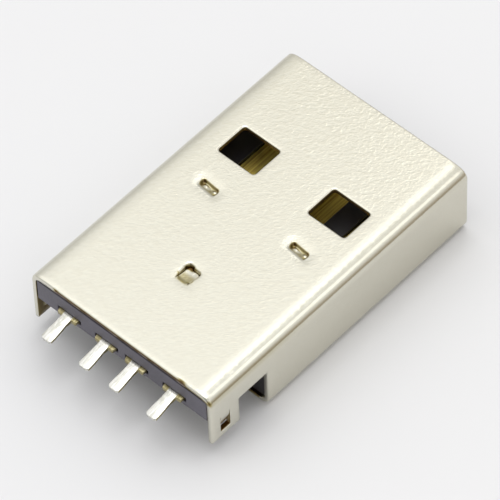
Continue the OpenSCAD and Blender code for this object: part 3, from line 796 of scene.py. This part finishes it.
def bentTail(work):      # the tail leaves the shoulder in an easy bend and widens towards its tip
    middle = sum(v.co.x for v in work.verts) / len(work.verts)
    half, hinge = contacts["neck"] / 2, contacts["hinge"]
    (solidY, solidZ), (bentY, bentZ) = np.transpose(contacts["solidTop"]), np.transpose(contacts["bentTop"])
    for y in bentY[1:]:
        bmesh.ops.bisect_plane(work, geom=work.verts[:] + work.edges[:] + work.faces[:], dist=0.002,
                               plane_co=(0, y, 0), plane_no=(0, 1, 0))
    for v in work.verts:
        off = v.co.x - middle
        if v.co.y < hinge and abs(off) > contacts["wingBeyond"]:
            v.co.x = middle + math.copysign(contacts["wing"], off)
        elif v.co.y < hinge and abs(off) > contacts["sideBeyond"]:
            wide = np.interp(v.co.y, contacts["widens"], (contacts["tip"], contacts["neck"]))
            v.co.x = middle + math.copysign(wide / 2, off)
    for x in (middle - half, middle + half):
        shoulder = {f for f in work.faces if f.calc_center_median().y > contacts["shoulder"]}
        shoulder |= {part for f in shoulder for part in (*f.edges, *f.verts)}
        bmesh.ops.bisect_plane(work, geom=list(shoulder), dist=1e-5, plane_co=(x, 0, 0), plane_no=(1, 0, 0))
    for v in work.verts:
        top = np.interp(v.co.y, solidY, solidZ)
        upper = v.co.z > top - contacts["skin"]
        if v.co.y < hinge and (upper or abs(v.co.x - middle) < contacts["stripWithin"]):
            v.co.z += np.interp(v.co.y, bentY, bentZ) - top
        if v.co.y < contacts["thinFrom"] and not upper:
            v.co.z += contacts["thin"]


contactFinishes = [contactMetal(name) for name in ("gold flash", "bright tin", "sheared bronze")]
for node in ("contact_vbus", "contact_d_minus", "contact_d_plus", "contact_ground"):
    piece = softened(node, contacts["round"], contacts["sharp"], bentTail)
    for finish in contactFinishes:
        piece.data.materials.append(finish)
    middle = (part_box(node)[0].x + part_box(node)[1].x) / 2
    for face in piece.data.polygons:
        y = face.center.y / mm
        strip = abs(face.center.x - middle) / mm < contacts["tip"] / 2
        tinned = y < contacts["hinge"] and strip and abs(face.normal.x) < 0.7  # the sides are sheared bare
        face.material_index = 0 if y > contacts["bladeFrom"] else 1 if tinned else 2
print("contacts softened and plated")

# White studio: a pale sweep under a bright overhead, darker towards the horizon, and five soft lamps
studio = {
    "floor": "#E2E2E3", "floorSize": 1.2, "floorDrop": 0.00002,                # metres
    "tooth": 1.5, "toothHeight": 0.004,        # mm
    "horizonLeft": 0.8, "horizonRight": 0.43, "nearSide": 0.9, "upper": 0.99, "plain": "#FFFFFF",
    "warm": "#FFF1DB",                         # low on the right
    "viewer": (0.62, -0.62, 0.48), "viewerShade": 0.45, "viewerReach": (62, 20),       # degrees
    "overhead": (-0.42, 0.1, 0.9), "overheadLift": 0.43, "overheadReach": (30, 9),     # degrees
    "softbox": (0.38, 0.43, 0.82), "softboxSize": (0.13, 0.13), "softboxGlow": 0.7,
    "strip": (-0.25, 0.435, 0.865), "stripSize": (0.04, 0.3), "stripGlow": 0.95,
    "front": (-0.43, -0.5, 0.75), "frontSize": (0.26, 0.26), "frontGlow": 0.28,
    "ceiling": (0.0, 0.0, 1.0), "ceilingSize": (0.24, 0.24), "ceilingGlow": 2.25,
    "fill": (0.83, -0.25, 0.5), "fillSize": (0.4, 0.4), "fillGlow": 0.5,
    "distance": 0.4,
}


def paleFloor():
    material, tree = newMaterial("white paper sweep")    # matt, with a faint tooth
    place = addNode(tree, "ShaderNodeTexCoord").outputs["Object"]
    tooth = addNode(tree, "ShaderNodeTexNoise",
                    {"Scale": perMm(studio["tooth"]), "Detail": 3.0}, {"Vector": place})
    bump = addNode(tree, "ShaderNodeBump", {"Distance": studio["toothHeight"] * mm},
                   {"Height": tooth.outputs["Fac"]})
    shader = addNode(tree, "ShaderNodeBsdfPrincipled",
                     {"Base Color": hexLinear(studio["floor"]), "Roughness": 0.9, "Specular IOR Level": 0.1},
                     {"Normal": bump.outputs["Normal"]})
    addNode(tree, "ShaderNodeOutputMaterial", links={"Surface": shader.outputs["BSDF"]})
    half = studio["floorSize"] / 2
    mesh = bpy.data.meshes.new("sweep")
    corners = [(-half, -half, 0), (half, -half, 0), (half, half, 0), (-half, half, 0)]
    mesh.from_pydata(corners, [], [(0, 1, 2, 3)])
    mesh.materials.append(material)
    made = bpy.data.objects.new("sweep", mesh)
    made.location.z = -studio["floorDrop"]
    bpy.context.collection.objects.link(made)


def studioDome():
    world = bpy.data.worlds.new("studio dome")
    bpy.context.scene.world = world
    world.use_nodes = True
    tree = world.node_tree
    tree.nodes.clear()
    place = addNode(tree, "ShaderNodeTexCoord").outputs["Generated"]
    parts = addNode(tree, "ShaderNodeSeparateXYZ", links={"Vector": place}).outputs
    low = addNode(tree, "ShaderNodeMapRange",
                  {"From Min": -1.0, "To Min": studio["horizonLeft"], "To Max": studio["horizonRight"]},
                  {"Value": parts["X"]})
    near = addNode(tree, "ShaderNodeMapRange",
                   {"From Min": -0.8, "From Max": 0.3, "To Min": studio["nearSide"]}, {"Value": parts["Y"]})
    rim = addNode(tree, "ShaderNodeMath", {"operation": "MULTIPLY"},
                  {0: low.outputs["Result"], 1: near.outputs["Result"]})
    rise = addNode(tree, "ShaderNodeMapRange",
                   {"interpolation_type": "SMOOTHSTEP", "From Min": 0.2, "From Max": 0.72,
                    "To Max": studio["upper"]}, {"Value": parts["Z"], "To Min": rim.outputs["Value"]})
    towards = addNode(tree, "ShaderNodeVectorMath",
                      {"operation": "DOT_PRODUCT", 1: Vector(studio["overhead"]).normalized()}, {0: place})
    wide, close = (math.cos(math.radians(angle)) for angle in studio["overheadReach"])
    glow = addNode(tree, "ShaderNodeMapRange",
                   {"interpolation_type": "SMOOTHSTEP", "From Min": wide, "From Max": close,
                    "To Max": studio["overheadLift"]}, {"Value": towards.outputs["Value"]})
    sky = addNode(tree, "ShaderNodeMath", {"operation": "ADD"},
                  {0: rise.outputs["Result"], 1: glow.outputs["Result"]})
    back = addNode(tree, "ShaderNodeVectorMath",       # whoever holds the camera stands in the light
                   {"operation": "DOT_PRODUCT", 1: Vector(studio["viewer"]).normalized()}, {0: place})
    wide, close = (math.cos(math.radians(angle)) for angle in studio["viewerReach"])
    shade = addNode(tree, "ShaderNodeMapRange",
                    {"interpolation_type": "SMOOTHSTEP", "From Min": wide, "From Max": close,
                     "To Min": 1.0, "To Max": studio["viewerShade"]}, {"Value": back.outputs["Value"]})
    level = addNode(tree, "ShaderNodeMath", {"operation": "MULTIPLY"},
                    {0: sky.outputs["Value"], 1: shade.outputs["Result"]})
    height = addNode(tree, "ShaderNodeMapRange", {"From Min": 0.2, "From Max": 0.6}, {"Value": parts["Z"]})
    left = addNode(tree, "ShaderNodeMapRange", {"From Min": 0.6, "From Max": 0.1}, {"Value": parts["X"]})
    plain = addNode(tree, "ShaderNodeMath", {"operation": "MAXIMUM"},
                    {0: height.outputs["Result"], 1: left.outputs["Result"]})
    tone = addNode(tree, "ShaderNodeMix",
                   {"data_type": "RGBA", 6: hexLinear(studio["warm"]), 7: hexLinear(studio["plain"])},
                   {0: plain.outputs["Value"]})
    dome = addNode(tree, "ShaderNodeBackground",
                   links={"Color": tone.outputs[2], "Strength": level.outputs["Value"]})
    addNode(tree, "ShaderNodeOutputWorld", links={"Surface": dome.outputs["Background"]})


def studioLamp(name):    # an area lamp facing the part; its glow is the brightness its face adds
    wide, tall = studio[name + "Size"]
    lamp = bpy.data.lights.new(name, "AREA")
    lamp.shape = "RECTANGLE"
    lamp.size, lamp.size_y = wide, tall
    lamp.energy = studio[name + "Glow"] * math.pi * wide * tall
    made = bpy.data.objects.new(name, lamp)
    aim = Vector(studio[name]).normalized()
    made.location = aim * studio["distance"]
    made.rotation_euler = aim.to_track_quat("Z", "Y").to_euler()
    bpy.context.collection.objects.link(made)


for name in ("softbox", "strip", "front", "ceiling", "fill"):
    studioLamp(name)
paleFloor()
studioDome()
print("studio set")

# The photograph's view, worked out from the connector's corners in it
view = {
    "azimuth": 44.383, "elevation": 52.479, "roll": -2.475, "distance": 253.347,   # degrees, mm
    "lens": 368.35, "shiftX": -0.00385, "shiftY": -0.00274,
    "target": (0.0, 0.85, 2.25),
}


def photoCamera():
    a, e, r = (math.radians(view[k]) for k in ("azimuth", "elevation", "roll"))
    back = Vector((math.sin(a) * math.cos(e), -math.cos(a) * math.cos(e), math.sin(e)))
    right = Vector((math.cos(a), math.sin(a), 0))
    up = back.cross(right)
    acrossX = math.cos(r) * right + math.sin(r) * up
    acrossY = -math.sin(r) * right + math.cos(r) * up
    lens = bpy.data.cameras.new("photo view")
    lens.lens = view["lens"]
    lens.sensor_width = 36
    lens.shift_x, lens.shift_y = view["shiftX"], view["shiftY"]
    lens.clip_start = 0.01
    lens.clip_end = 10
    made = bpy.data.objects.new("photo view", lens)
    bpy.context.collection.objects.link(made)
    turn = Matrix((acrossX, acrossY, back)).transposed().to_4x4()
    made.matrix_world = Matrix.Translation((Vector(view["target"]) + view["distance"] * back) * mm) @ turn
    bpy.context.scene.camera = made


photoCamera()
bpy.context.scene.view_settings.view_transform = "Standard"
